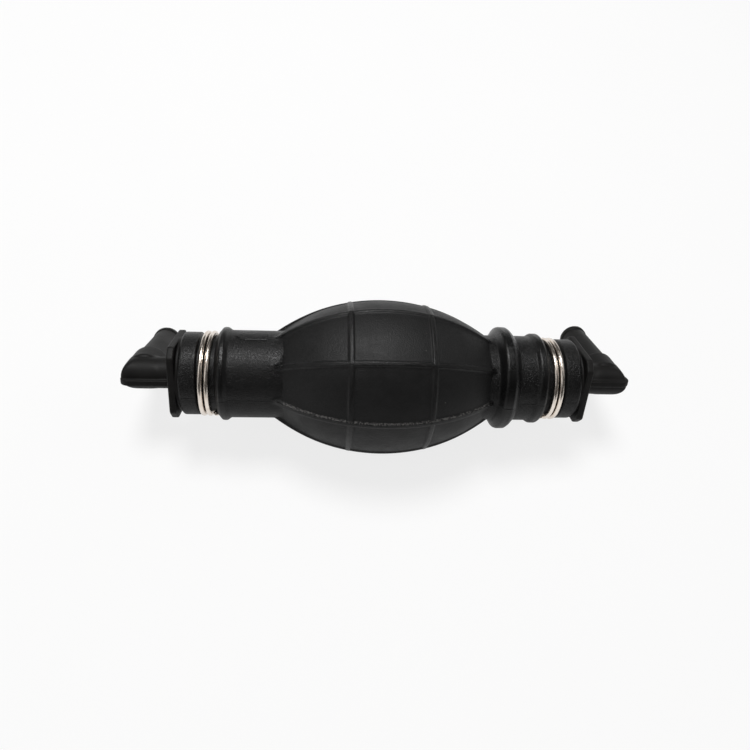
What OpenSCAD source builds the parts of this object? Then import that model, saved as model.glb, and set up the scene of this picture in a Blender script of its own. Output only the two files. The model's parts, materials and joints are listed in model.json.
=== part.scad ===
// Siphon bulb pump: a squeeze bulb of rubber between two elbowed hose connectors.
// Each connector holds a spring-loaded check valve, so the liquid only moves
// from the inlet end (+X) to the outlet end (-X). Millimetres, +Z up.
// The pump is modelled as it lies on a table: on the belly of its bulb, with the
// hose barbs pointing down behind it. The origin is under the middle of its box.

/* [Bulb] */
// Outer radius of the bulb at its fullest
bulb_r = 26.2; // [22:0.1:34]
// Radius of the arc that the bulb's side follows from neck to neck
side_arc_r = 62.5; // [54:0.5:90]
// Rubber wall of the bulb
bulb_wall = 3; // [2:0.1:3.4]
// How far the fullest ring lies towards the outlet, from the middle of the bulb
peak_shift = 1.5; // [0:0.1:3]
// Number of ribs along the bulb
long_ribs = 8; // [4:1:12]
// Width of a rib
rib_w = 1.8; // [1:0.1:2.6]
// Height of a rib above the skin
rib_h = 0.6; // [0.3:0.05:0.9]
// Distance between the two ribs that run round the bulb
ring_rib_gap = 26.5; // [16:0.5:36]
// Elevation of the rib that lies on the mould's parting line, in degrees
parting_angle = 23; // [0:1:44]

/* [Necks] */
// Rubber wall of the two plain necks
neck_wall = 3.6; // [2.8:0.1:5]
// Rubber wall of the cuff that the wire clip squeezes
cuff_wall = 2.7; // [2.3:0.1:3.5]
// Length of the outlet neck with its cuff, from the foot of the bulb
outlet_neck_l = 31.2; // [25:0.1:40]
// Length of the inlet neck with its cuff, from the foot of the bulb
inlet_neck_l = 31.1; // [25:0.1:40]
// Rounding of the rubber's two end edges
end_round = 0.8; // [0.3:0.1:1.2]
// Height of the small bead beside each clip
small_bead_h = 0.9; // [0.4:0.05:1.4]
// Height of the large bead on the inlet neck
big_bead_h = 2.95; // [1.5:0.05:3.6]
// Distance from the foot of the bulb to the middle of the large bead
big_bead_place = 5; // [3.9:0.1:6]
// Length of the raised flow arrow on the outlet neck
arrow_l = 11.4; // [6:0.2:12]
// Height of the flow arrow above the neck
arrow_h = 0.35; // [0.2:0.05:0.6]

/* [Connectors] */
// Outer radius of the spigot inside the neck
spigot_r = 11.3; // [9.4:0.05:13.6]
// Wall of the spigot round the valve's chamber
spigot_wall = 2.1; // [1.6:0.1:2.6]
// Height of the ridges that hold the spigot in the rubber
ridge_h = 0.7; // [0.4:0.05:0.9]
// Gap between the rubber's end and the flange
flange_gap = 1.1; // [0.6:0.1:2.5]
// How far the square flange's corners stand out over the cuff
flange_over = 1.55; // [0.8:0.05:3]
// Thickness of the flange
flange_t = 2.3; // [1.6:0.1:4]
// Half angle of the flange's cut corners, in degrees
corner_cut = 8; // [4:1:14]
// Outer radius of the elbow's inner leg
leg_r = 5.35; // [5.2:0.05:6.2]
// Distance from the flange to the axis of the hose stem
leg_l = 10.3; // [9:0.1:16]
// Outer radius of the elbow's corner and of the root of the hose stem
root_r = 6.3; // [5.9:0.05:7]
// Length of the root, from the pump's axis to the hose stop
root_l = 9.2; // [8.5:0.1:14]
// Outer radius of the hose stem at the hose stop
stem_r = 5.4; // [5:0.05:5.6]
// Outer radius of the barb at the tip
barb_r = 5.15; // [5:0.05:5.8]
// Distance from the pump's axis to the tip
stem_l = 35; // [28:0.5:44]
// Radius of the flow bore
bore_r = 3.1; // [2.2:0.05:3.3]
// How far the stiffening rib stands out of the elbow's leg
web_h = 1.45; // [0.6:0.05:2]
// How far the stiffening rib stands out of the elbow's corner
web_end_h = 0.6; // [0.4:0.05:1.6]
// Thickness of the stiffening rib
web_t = 2; // [1.2:0.1:2.6]
// How far the outlet's hose stem points below level, in degrees
outlet_turn = 38.5; // [0:0.5:60]
// How far the inlet's hose stem points below level, in degrees
inlet_turn = 30.7; // [0:0.1:60]

/* [Wire clips] */
// Diameter of the clip wire
wire_d = 1.6; // [1.2:0.1:1.9]
// Clear gap between the turns of the clip
wire_gap = 0.45; // [0.42:0.01:0.6]
// Turns of wire in a clip
clip_turns = 2.1; // [2:0.02:2.2]
// How far the wire stands out of the cuff
wire_proud = 0.5; // [0.3:0.05:0.7]
// Distance from the rubber's end to the near side of the clip groove
clip_inset = 5.5; // [5:0.1:6.5]

/* [Check valves] */
// Distance from the rubber's end to the step that stops the valve
chamber_stop = 5.5; // [4:0.1:6.5]
// Thickness of the valve seat
seat_t = 4; // [3:0.1:5]
// Radius of the port through the valve seat
port_r = 4.8; // [4.2:0.05:5.2]
// How far the poppet's head overlaps the port all round
head_overlap = 1.8; // [1.2:0.1:2.2]
// Thickness of the poppet's head
head_t = 1.6; // [1.2:0.1:2]
// Thickness of the rubber seal ring under the head
seal_t = 0.8; // [0.6:0.05:1.2]
// Radius of the poppet's stem
pin_r = 1.5; // [1.2:0.05:1.6]
// How far a poppet lifts
valve_lift = 2.5; // [1:0.1:3.2]
// Thickness of the cage that guides the stem
cage_t = 2.5; // [2:0.1:3]
// Wire diameter of the valve spring
spring_wire = 0.7; // [0.5:0.05:0.7]
// Turns of the valve spring
spring_turns = 4.5; // [3:0.5:5]
// Length of the spring's room while the valve is shut
spring_room = 7.6; // [6.6:0.1:10]

/* [Hidden] */
$fn = 64;

// Clearances
run_gap = 0.05;      // radial, where a piece turns or slides in another
face_gap = 0.05;     // along the axis, between faces that turn on each other
over = 1;            // how far a cutting body passes the face that it cuts
join = 0.5;          // how far a shape is drawn into the one it grows from

// Bulb and necks: foot_l is the distance from the fullest ring to the bulb's foot
side_centre_r = bulb_r - side_arc_r;          // the side arc's centre, seen along the axis
neck_bore_r = spigot_r + run_gap;
neck_r = neck_bore_r + neck_wall;
cuff_r = neck_bore_r + cuff_wall;
foot_l = sqrt(side_arc_r ^ 2 - (neck_r - side_centre_r) ^ 2);
outlet_end = peak_shift + foot_l + outlet_neck_l;
inlet_end = foot_l - peak_shift + inlet_neck_l;
foot_overlap = 0.9;                           // how far the bulb's outline runs on into a neck
neck_run_in = 2;                              // how far a plain neck runs on into the bulb
neck_from = 1.2;                              // from the clip groove to the plain neck
bead_width = [3.5, 5];                        // small bead at the outlet and the inlet
bead_gap = 0.1;                               // from the clip groove to the small bead
big_bead_w = 8;
rib_w_at = 0.88 * bulb_r;                     // the radius at which a rib has its full width
rib_angle = 2 * asin(rib_w / 2 / rib_w_at);
flow_arrow_angle = 116;                       // elevation of the arrow on the neck
flow_arrow_inset = 22.6;                      // rubber's end to the arrow's middle
flow_arrow_shaft = 3.7;
flow_arrow_head = [3.6, 5.9];                 // length and width of the arrow's head

// Clips
wire_pitch = wire_d + wire_gap;
wire_centre_r = cuff_r + wire_proud - wire_d / 2;
groove_r = wire_centre_r - wire_d / 2 - 0.15; // the polygonal wire clears the groove
groove_w = clip_turns * wire_pitch + wire_d + 0.2;
groove_end = clip_inset + groove_w;
clip_start = -53;                             // elevation of the wire's outer end
rings_per_loop = 24;
wire_sides = 6;

// Connectors: u runs outwards along the axis from the rubber's end face
shoulder_r = spigot_r + 1.1;
flange_r = cuff_r + flange_over;
flange_out = flange_gap + flange_t;
stem_u = flange_out + leg_l;
ridge_u = [-3, -groove_end - 2.6, -groove_end - 7];
ridge_w = 1.8;
barb_land = 1.6;
barb_nose = 0.6;
barb_rise = 0.5;                              // length of the slope up to the barb's land
stem_taper = 0.6;                             // how much the stem narrows towards the barb
root_chamfer = 0.6;
web_from = 0.4;                               // from the elbow's middle plane to the web
web_round = 3.2;                              // rounding of the web's corner
web_run = 3.7;                                // the web's end on the root, from the axis
web_sink = 0.5;                               // how far that end dips into the root
floor_wall = 2.9;                             // plastic between chamber and open air
chamber_end = flange_out - floor_wall;
chamber_r = spigot_r - spigot_wall;
chamber_neck_r = chamber_r - 1;

// Valves: w runs along the flow from the upstream face of the seat
head_w = seat_t + seal_t;
cage_w = head_w + head_t + spring_room;
chamber_l = cage_w + cage_t;
spigot_l = chamber_stop + chamber_l;
head_r = port_r + head_overlap;
hub_r = port_r - 1.4;
hub_l = 1;                                    // how far the hub stands into the port
hub_lip = 0.4;
hub_lip_t = 0.6;
port_chamfer = 1.2;
spring_play = 0.02;                           // left free at each end of the valve spring
seal_r = head_r - 0.4;
pin_end = chamber_l + valve_lift;              // shows past the cage by one lift
boss_r = pin_r + 1.5;
boss_l = 1.5;
cage_bore_r = chamber_r - 1.4;
spoke_w = 1.8;
spring_r = boss_r + 0.25 + spring_wire / 2;
spring_sides = 6;
rings_per_curl = 8;

// The pump's place in the frame: it rests on the bulb, centred over the origin
function reach_back(turn) = stem_l * cos(turn) + barb_r * sin(turn);
back_y = max(reach_back(outlet_turn), reach_back(inlet_turn));
frame_x = (outlet_end - inlet_end) / 2;
frame_y = (bulb_r - back_y) / 2;
frame_z = bulb_r;

// Puts the bulb's axis, drawn along X through the origin, in its place
module in_frame() translate([frame_x, frame_y, frame_z]) children();

// Turns a shape drawn round +Z so that +Z runs along +X
module along_x() rotate([0, 90, 0]) children();

// Places a shape drawn with u along +Z at the inlet end or the outlet end
module at_inlet() in_frame() translate([inlet_end, 0, 0]) along_x() children();
module at_outlet() in_frame() translate([-outlet_end, 0, 0]) rotate([0, -90, 0]) children();

// A closed tube of n sides round a list of points, with one ring for each point.
// side(i) and up(i) span the plane of ring i.
function tube_points(path, sides_v, ups_v, r, n) = [
    for (i = [0:len(path) - 1], k = [0:n - 1])
        path[i] + r * (cos(360 * k / n) * sides_v[i] + sin(360 * k / n) * ups_v[i])
];
function tube_faces(rings, n) = concat(
    [for (k = [1:n - 2]) [0, k + 1, k]],
    [for (i = [0:rings - 2], k = [0:n - 1], t = [0, 1])
        let (a = i * n + k, b = i * n + (k + 1) % n)
        t == 0 ? [a, b, b + n] : [a, b + n, a + n]],
    [for (k = [1:n - 2]) let (s = (rings - 1) * n) [s, s + k, s + k + 1]]
);

// Points of a helix about X: radius r, from x0, with pitch p (signed) and m rings a turn
function helix(r, x0, p, turns, start, m) = [
    for (i = [0:round(turns * m)]) let (t = 360 * i / m)
        [x0 + p * i / m, -r * cos(start + t), r * sin(start + t)]
];
function radial_at(start, m, i) = [0, -cos(start + 360 * i / m), sin(start + 360 * i / m)];

// One unbroken wire wound along X
module wound_wire(r, x0, p, turns, start, m, wire, sides) {
    path = helix(r, x0, p, turns, start, m);
    n = len(path);
    outward = [for (i = [0:n - 1]) radial_at(start, m, i)];
    axial = [for (i = [0:n - 1]) [1, 0, 0]];
    polyhedron(tube_points(path, axial, outward, wire / 2, sides), tube_faces(n, sides));
}

// Least distance between the surfaces of turns that lie beside each other, on points
function least_gap(path, m, wire) = min([
    for (i = [0:len(path) - 1 - m], j = [i + m - 3:min(i + m + 3, len(path) - 1)])
        norm(path[i] - path[j]) - wire
]);

// ---- Bulb ----

// Half outline of the bulb's skin, grown by g: radius along +X, the pump's axis along +Y
module bulb_outline(g) {
    half_l = foot_l + foot_overlap;
    intersection() {
        translate([side_centre_r, -peak_shift]) circle(side_arc_r + g, $fn = 256);
        translate([0, -peak_shift - half_l]) square([2 * bulb_r, 2 * half_l]);
    }
}

// A bead of radius top_r and width w, centred at axial place x
module bead(top_r, base_r, w, x) {
    rise = top_r - base_r;
    r = (w * w / 4 + rise * rise) / (2 * rise);
    translate([top_r - r, x]) intersection() {
        circle(r);
        translate([0, -r]) square([r, 2 * r]);
    }
}

// A plain length of neck or cuff from x0 to x1
module band(r, x0, x1) translate([0, min(x0, x1)]) square([r, abs(x1 - x0)]);

// One end of the rubber: cuff, groove for the clip, bead and plain neck. s is -1 at the
// outlet and +1 at the inlet, end is the rubber's end and i picks the bead's sizes
module neck_outline(s, end, i) {
    groove_in = end - groove_end;
    bead_in = groove_in - bead_gap - bead_width[i] / 2;
    difference() {
        union() {
            band(cuff_r, s * (end - end_round), s * (groove_in - neck_from - join));
            band(cuff_r - end_round, s * end, s * (end - 2 * end_round));
            translate([cuff_r - end_round, s * (end - end_round)]) circle(end_round);
            band(neck_r, s * (groove_in - neck_from), s * (foot_l - neck_run_in) - peak_shift);
            bead(neck_r + small_bead_h, neck_r, bead_width[i], s * bead_in);
        }
        translate([groove_r, s > 0 ? groove_in : -end + clip_inset])
            square([over + cuff_r, groove_w]);
    }
}

// The hollow of the rubber: the chamber of the bulb, and the bores with their grooves
module bulb_hollow_outline() {
    intersection() {
        translate([side_centre_r, -peak_shift]) circle(side_arc_r - bulb_wall, $fn = 256);
        translate([0, -outlet_end]) square([bulb_r, outlet_end + inlet_end]);
    }
    band(neck_bore_r, -outlet_end - over, inlet_end + over);
    for (u = ridge_u) {
        translate([0, inlet_end + u]) ridge_outline(run_gap);
        translate([0, -outlet_end - u]) mirror([0, 1]) ridge_outline(run_gap);
    }
}

// One ridge of the spigot, grown by g, with u along +Y; its slope faces the bulb
module ridge_outline(g) {
    r0 = spigot_r - join;
    r1 = spigot_r + ridge_h + g;
    polygon([[r0, -ridge_w / 2 - g], [spigot_r + g, -ridge_w / 2 - g], [r1, 0],
             [r1, ridge_w / 2 + g], [r0, ridge_w / 2 + g]]);
}

// A rib along the bulb at elevation e: a strip of the side arc grown by the rib's height
module long_rib(e) along_x() rotate([0, 0, 270 - e - rib_angle / 2])
    rotate_extrude(angle = rib_angle) difference() {
        intersection() {
            bulb_outline(rib_h);
            translate([neck_r - join, -outlet_end])
                square([bulb_r, outlet_end + inlet_end]);
        }
        bulb_outline(-bulb_wall / 2);
    }

// The flow arrow: a head and a shaft on the neck, pointing to the outlet
module flow_arrow() {
    tip = -arrow_l / 2;
    neck = tip + flow_arrow_head.x;
    w = flow_arrow_shaft / 2;
    in_frame() translate([-outlet_end + flow_arrow_inset, 0, 0])
        rotate([180 - flow_arrow_angle, 0, 0]) rotate([90, 0, 0]) intersection() {
            linear_extrude(neck_r + arrow_h) polygon([
                [tip, 0], [neck, flow_arrow_head.y / 2], [neck, w], [-tip, w],
                [-tip, -w], [neck, -w], [neck, -flow_arrow_head.y / 2]
            ]);
            along_x() difference() {
                cylinder(h = 2 * arrow_l, r = neck_r + arrow_h, center = true);
                cylinder(h = 3 * arrow_l, r = neck_r - join, center = true);
            }
        }
}

module bulb() {
    color("#26262a") {
        in_frame() difference() {
            union() {
                along_x() rotate_extrude() {
                    bulb_outline(0);
                    neck_outline(1, inlet_end, 1);
                    neck_outline(-1, outlet_end, 0);
                    bead(neck_r + big_bead_h, neck_r, big_bead_w,
                         foot_l - peak_shift + big_bead_place);
                    for (s = [-1, 1]) intersection() {
                        bulb_outline(rib_h);
                        band(bulb_r + over, s * ring_rib_gap / 2 - rib_w / 2,
                             s * ring_rib_gap / 2 + rib_w / 2);
                    }
                }
                for (k = [0:long_ribs - 1]) long_rib(parting_angle + k * 360 / long_ribs);
            }
            along_x() rotate_extrude() bulb_hollow_outline();
        }
        flow_arrow();
    }
}

// ---- Connectors ----

// The square flange with its corners cut, square to the hose stem
module flange() {
    translate([0, 0, flange_gap]) linear_extrude(flange_t) polygon([
        for (c = [45:90:315], d = [-corner_cut, corner_cut])
            flange_r * [cos(c + d), sin(c + d)]
    ]);
}

// The elbow, drawn with u along +Z and the hose stem along +X. Both ends have the same one
module elbow() {
    difference() {
        union() {
            rotate_extrude() {
                band(spigot_r, -spigot_l, flange_gap + join);
                band(shoulder_r, face_gap, flange_gap + join);
                for (u = ridge_u) translate([0, u]) ridge_outline(0);
            }
            flange();
            translate([0, 0, flange_gap + join])
                cylinder(h = stem_u - flange_gap - join, r = leg_r);
            corner();
            translate([0, 0, stem_u]) rotate([0, 90, 0]) hose_stem();
            web();
        }
        translate([0, 0, -spigot_l - over]) cylinder(h = spigot_l - chamber_stop + over, r = chamber_r);
        translate([0, 0, -chamber_stop - over])
            cylinder(h = chamber_stop + chamber_end + over, r = chamber_neck_r);
        cylinder(h = stem_u, r = bore_r);
        translate([0, 0, stem_u]) sphere(bore_r);
        translate([0, 0, stem_u]) rotate([0, 90, 0]) cylinder(h = stem_l + over, r = bore_r);
    }
}

// The mitred corner: what the leg and the root have in common past the stem's axis
module corner() translate([0, 0, stem_u]) intersection() {
    cylinder(h = root_r + over, r = leg_r);
    translate([-leg_r - over, 0, 0]) rotate([0, 90, 0])
        cylinder(h = 2 * leg_r + 2 * over, r = root_r);
}

// Root, stem and barb of the hose stem, along +Z
module hose_stem() {
    rotate_extrude() polygon([
        [0, 0], [root_r, 0], [root_r, root_l - root_chamfer], [root_r - root_chamfer, root_l],
        [stem_r, root_l], [stem_r - stem_taper, stem_l - barb_nose - barb_land - barb_rise],
        [barb_r, stem_l - barb_nose - barb_land], [barb_r, stem_l - barb_nose],
        [barb_r - barb_nose, stem_l], [0, stem_l]
    ]);
}

// The flat rib along the leg and round the elbow's corner, on one side of its middle plane
module web() {
    out_r = leg_r + web_h;
    end_u = stem_u + root_r;
    top_u = end_u + web_end_h;
    rotate([90, 0, 0]) mirror([0, 0, 1])
        translate([0, 0, web_from]) linear_extrude(web_t) {
            polygon([[-out_r, flange_out - join], [0, flange_out - join], [0, stem_u],
                     [web_run, stem_u], [web_run, end_u - web_sink],
                     [web_round - out_r, top_u], [-out_r, top_u - web_round]]);
            translate([web_round - out_r, top_u - web_round]) circle(web_round);
        }
}

module outlet_elbow() color("#1f1f22")
    at_outlet() rotate([0, 0, 90 + outlet_turn]) elbow();
module inlet_elbow() color("#1f1f22")
    at_inlet() rotate([0, 0, 90 - inlet_turn]) elbow();

// ---- Wire clips ----

clip_x = wire_d / 2 + 0.1;
outlet_wire = helix(wire_centre_r, -outlet_end + clip_inset + clip_x, wire_pitch,
                    clip_turns, clip_start, rings_per_loop);
echo(clip_gap = least_gap(outlet_wire, rings_per_loop, wire_d));

module outlet_wire_clip() color("#c9c6c0") in_frame()
    wound_wire(wire_centre_r, -outlet_end + clip_inset + clip_x, wire_pitch, clip_turns,
               clip_start, rings_per_loop, wire_d, wire_sides);
module inlet_wire_clip() color("#c9c6c0") in_frame() mirror([1, 0, 0])
    wound_wire(wire_centre_r, -inlet_end + clip_inset + clip_x, wire_pitch, clip_turns,
               clip_start, rings_per_loop, wire_d, wire_sides);

// ---- Check valves, drawn with the flow along +Z from the seat's upstream face ----

// The outlet's valve opens towards the elbow, the inlet's towards the bulb
module in_outlet_valve() at_outlet() translate([0, 0, -spigot_l]) children();
module in_inlet_valve() at_inlet() translate([0, 0, -chamber_stop]) mirror([0, 0, 1]) children();

module valve_seat() difference() {
    cylinder(h = seat_t, r = chamber_r);
    translate([0, 0, -over]) cylinder(h = seat_t + 2 * over, r = port_r);
    translate([0, 0, -over])
        cylinder(h = port_chamfer + over, r1 = port_r + port_chamfer + over, r2 = port_r);
}

module valve_poppet() {
    translate([0, 0, head_w]) cylinder(h = head_t, r = head_r);
    translate([0, 0, seat_t - hub_l]) cylinder(h = hub_l + seal_t + join, r = hub_r);
    translate([0, 0, seat_t - hub_l]) cylinder(h = hub_lip_t, r = hub_r + hub_lip);
    translate([0, 0, head_w]) cylinder(h = pin_end - head_w, r = pin_r);
}

module seal_ring() translate([0, 0, seat_t]) difference() {
    cylinder(h = seal_t, r = seal_r);
    translate([0, 0, -over]) cylinder(h = seal_t + 2 * over, r = hub_r);
}

module spring_cage() difference() {
    union() {
        difference() {
            translate([0, 0, cage_w]) cylinder(h = cage_t, r = chamber_r);
            translate([0, 0, cage_w - over]) cylinder(h = cage_t + 2 * over, r = cage_bore_r);
        }
        translate([0, 0, cage_w - boss_l]) cylinder(h = cage_t + boss_l, r = boss_r);
        for (k = [0:2]) rotate([0, 0, 120 * k])
            translate([0, -spoke_w / 2, cage_w]) cube([cage_bore_r + join, spoke_w, cage_t]);
    }
    translate([0, 0, cage_w - boss_l - over])
        cylinder(h = cage_t + boss_l + 2 * over, r = pin_r + run_gap);
}

spring_from = head_w + head_t + spring_wire / 2 + spring_play;
spring_to = cage_w - spring_wire / 2 - spring_play;
spring_path = helix(spring_r, 0, (spring_to - spring_from) / spring_turns, spring_turns, 0,
                    rings_per_curl);
echo(valve_spring_gap = least_gap(spring_path, rings_per_curl, spring_wire));

module valve_spring() rotate([0, -90, 0])
    wound_wire(spring_r, spring_from, (spring_to - spring_from) / spring_turns, spring_turns,
               0, rings_per_curl, spring_wire, spring_sides);

module outlet_valve_seat() color("#d8d4c8") in_outlet_valve() valve_seat();
module inlet_valve_seat() color("#d8d4c8") in_inlet_valve() valve_seat();
module outlet_valve_poppet() color("#e3e0d6") in_outlet_valve() valve_poppet();
module inlet_valve_poppet() color("#e3e0d6") in_inlet_valve() valve_poppet();
module outlet_seal_ring() color("#303034") in_outlet_valve() seal_ring();
module inlet_seal_ring() color("#303034") in_inlet_valve() seal_ring();
module outlet_valve_spring() color("#b9bcc0") in_outlet_valve() valve_spring();
module inlet_valve_spring() color("#b9bcc0") in_inlet_valve() valve_spring();
module outlet_spring_cage() color("#d8d4c8") in_outlet_valve() spring_cage();
module inlet_spring_cage() color("#d8d4c8") in_inlet_valve() spring_cage();

bulb();
outlet_elbow();
inlet_elbow();
outlet_wire_clip();
inlet_wire_clip();
outlet_valve_seat();
inlet_valve_seat();
outlet_valve_poppet();
inlet_valve_poppet();
outlet_seal_ring();
inlet_seal_ring();
outlet_valve_spring();
inlet_valve_spring();
outlet_spring_cage();
inlet_spring_cage();
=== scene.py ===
# %% [markdown]
# # A siphon bulb pump
# A hand pump for liquids: a black rubber bulb that is squeezed by hand, an elbow with a hose barb at each
# end, and a bright wire clip that holds each rubber cuff on its elbow. This lesson builds its looks in
# Blender around a CAD model that is already right in size. Each piece is a surface worked out with numpy,
# and each finish is a few lines of shader maths. The frame comes first, because every piece is placed by it.

# %% Load the frame
import json
import math

import bpy
import numpy as np
from mathutils import Matrix, Vector


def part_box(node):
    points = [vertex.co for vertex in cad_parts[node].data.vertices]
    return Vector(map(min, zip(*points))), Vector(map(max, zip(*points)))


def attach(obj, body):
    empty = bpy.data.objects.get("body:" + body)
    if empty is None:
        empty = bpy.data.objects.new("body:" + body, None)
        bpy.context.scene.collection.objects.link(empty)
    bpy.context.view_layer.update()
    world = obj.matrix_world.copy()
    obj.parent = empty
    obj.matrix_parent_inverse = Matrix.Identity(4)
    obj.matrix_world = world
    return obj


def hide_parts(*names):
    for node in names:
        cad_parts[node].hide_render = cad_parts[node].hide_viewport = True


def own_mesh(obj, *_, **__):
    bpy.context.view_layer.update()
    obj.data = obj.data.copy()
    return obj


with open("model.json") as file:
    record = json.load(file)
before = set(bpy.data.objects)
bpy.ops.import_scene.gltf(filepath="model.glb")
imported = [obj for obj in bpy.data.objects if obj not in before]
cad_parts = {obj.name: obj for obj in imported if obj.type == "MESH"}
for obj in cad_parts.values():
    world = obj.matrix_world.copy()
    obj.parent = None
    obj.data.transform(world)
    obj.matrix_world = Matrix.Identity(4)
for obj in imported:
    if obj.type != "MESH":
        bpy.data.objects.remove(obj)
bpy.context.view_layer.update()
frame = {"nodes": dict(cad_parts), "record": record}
MM = 0.001

# %% [markdown]
# ## Where the pump lies
# The rubber is round about one axis that runs along X, and nearly everything else sits on that axis. So the
# lesson measures x along the axis from the middle of the bulb, in millimetres, and turns x, a radius and an
# elevation into a point. Elevation 0 faces the front (-Y) and 90 faces up. The axis itself is read from the
# frame: it runs through the middle of the rubber's box.

# %% The axis and the rubber's main sizes
rubber_low, rubber_high = (np.array(corner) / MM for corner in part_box("bulb"))
AXIS = (rubber_low + rubber_high) / 2
BULB_R = (rubber_high[2] - rubber_low[2]) / 2
SIDE_ARC_R = 62.5  # the bulb's side is an arc of this radius
PEAK_SHIFT = 1.5  # its widest place lies this far towards the outlet
NECK_R = 14.95
CUFF_R = 14.05
OUTLET_NECK = 31.2  # from the bulb's foot to the rubber's end
SIDE_CENTRE_R = BULB_R - SIDE_ARC_R
FOOT_L = math.sqrt(SIDE_ARC_R**2 - (NECK_R - SIDE_CENTRE_R) ** 2)
OUTLET_END = PEAK_SHIFT + FOOT_L + OUTLET_NECK
INLET_END = rubber_high[0] - rubber_low[0] - OUTLET_END
BULB_X = rubber_low[0] + OUTLET_END
print("bulb radius %.2f, rubber from %.2f to %.2f mm" % (BULB_R, -OUTLET_END, INLET_END))


def on_pump(x, r, elevation):
    """Points in metres: x along the axis from the bulb's middle, r off the axis, elevation in radians."""
    x, r, elevation = np.broadcast_arrays(x, r, elevation)
    y = AXIS[1] - r * np.cos(elevation)
    z = AXIS[2] + r * np.sin(elevation)
    return np.stack([BULB_X + x, y, z], axis=-1) * MM


# %% [markdown]
# ## Ramps and rounded corners
# Moulded rubber and plastic have no sharp edges. Two small functions make nearly every soft edge below: a
# ramp that starts and ends level, and a minimum or maximum of two shapes that is rounded where they meet.

# %% Soft ramps, minimum and maximum
def smoothstep(low, high, x):
    """0 up to low, 1 from high on, and 3t^2 - 2t^3 of the way t between them. Low may be the larger."""
    t = np.clip((np.asarray(x, float) - low) / (high - low), 0, 1)
    return t * t * (3 - 2 * t)


def plateau(x, rise_from, rise_to, fall_from, fall_to):
    """1 between rise_to and fall_from, 0 outside rise_from and fall_to, with soft ramps."""
    return smoothstep(rise_from, rise_to, x) * (1 - smoothstep(fall_from, fall_to, x))


def soft_min(a, b, k):
    """The smaller of a and b. Where they differ by less than k it dips by up to k / 4, as a fillet does."""
    near = np.clip(k - np.abs(a - b), 0, None) / k
    return np.minimum(a, b) - near * near * k / 4


def soft_max(a, b, k):
    """The larger of a and b, rounded in the same way."""
    return -soft_min(-a, -b, k)


def round_corner(a, b, r):
    """The larger of a and b, with the outer corner rounded to radius r: a distance beyond both, less r."""
    a, b = a + r, b + r
    return np.minimum(np.maximum(a, b), 0) + np.hypot(np.maximum(a, 0), np.maximum(b, 0)) - r


print("half way up a ramp %.2f, soft minimum of two ones %.2f" % (smoothstep(0, 1, 0.5), soft_min(1, 1, 0.4)))

# %% [markdown]
# ## Grids into meshes
# A surface that is a function of two parameters becomes a grid of points, and a grid becomes quads by plain
# index arithmetic. The signed volume of the result tells whether its faces look outwards, so that no piece
# is left inside out.

# %% Mesh helpers
def grid_quads(rows, cols, wrap_rows=False, wrap_cols=False):
    """Quads between neighbouring grid points, and the row and column number of each of their corners."""
    i, j = np.meshgrid(np.arange(rows - (not wrap_rows)), np.arange(cols - (not wrap_cols)), indexing="ij")
    corner_i = np.stack([i, i, i + 1, i + 1], axis=-1).reshape(-1, 4)
    corner_j = np.stack([j, j + 1, j + 1, j], axis=-1).reshape(-1, 4)
    return (corner_i % rows) * cols + corner_j % cols, corner_i, corner_j


def signed_volume(points, quads):
    """The volume inside the quads, positive where they look outwards: a sum of tetrahedra."""
    a, b, c, d = (points[quads[:, k]] for k in range(4))
    return (np.einsum("ij,ij->i", a, np.cross(b, c)) + np.einsum("ij,ij->i", a, np.cross(c, d))).sum() / 6


def new_object(name, points, faces):
    """A smooth-shaded mesh object with its place in its mesh."""
    mesh = bpy.data.meshes.new(name)
    mesh.from_pydata(points.tolist(), [], [list(f) for f in faces])
    mesh.polygons.foreach_set("use_smooth", np.ones(len(mesh.polygons), bool))
    mesh.update()
    made = bpy.data.objects.new(name, mesh)
    bpy.context.scene.collection.objects.link(made)
    print("%s: %d vertices, %d faces" % (name, len(mesh.vertices), len(mesh.polygons)))
    return made


def outward(points, quads):
    """The quads, turned round if they look inwards."""
    return quads if signed_volume(points, quads) > 0 else quads[:, ::-1]


print("a grid of 3 by 4 points that closes both ways has", len(grid_quads(3, 4, True, True)[0]), "quads")

# %% [markdown]
# ## The rubber's outline
# One moulding makes the bulb, both necks and both cuffs. The bulb's side is a circular arc, so it is a
# formula. The necks are plain cylinders with beads, a groove and a cuff, so they are straight runs between
# corners, and averaging each point with its neighbours rounds the corners as a mould does. A lathe shape
# drawn by hand would do as well, but here each size can be read and changed. Every corner is a pair of x and
# a radius.

# %% The outline outside and inside
BULB_WALL = 3
BORE_R = 11.35
END_ROUND = 0.8
GROOVE_R = 12.8
CLIP_INSET = 5.5  # from the rubber's end to the clip's groove
GROOVE_STEP = 0.05  # the groove's wall is all but upright
CORNER_SPREAD = 0.13  # corners are averaged over this much to each side
OUTLET_CUFF = [(-OUTLET_END, CUFF_R), (-OUTLET_END + CLIP_INSET - GROOVE_STEP, CUFF_R),
               (-OUTLET_END + CLIP_INSET, GROOVE_R)]
OUTLET_BEAD = [(-56.92, GROOVE_R), (-56.85, 14.35), (-56.5, 14.6), (-55.6, 15.75), (-55.2, 15.9),
               (-54.2, 15.9), (-53.7, 15.6), (-53.1, 15.1), (-52.7, NECK_R)]
LARGE_BEAD = [(36.7, NECK_R), (37.6, 16.45), (38.3, 17.65), (39.0, 17.95), (41.2, 17.92), (42.0, 17.4),
              (42.35, 17.12), (42.6, 16.75), (43.0, 16.35), (43.3, 16.1), (43.5, 15.5), (43.9, NECK_R)]
INLET_BEAD = [(49.8, NECK_R), (50.3, 15.5), (50.9, 15.88), (52.5, 15.9), (53.0, 15.6), (53.6, 14.9),
              (53.75, 14.3), (53.8, GROOVE_R)]
INLET_CUFF = [(INLET_END - CLIP_INSET, GROOVE_R), (INLET_END - CLIP_INSET + GROOVE_STEP, CUFF_R),
              (INLET_END, CUFF_R)]
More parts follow.
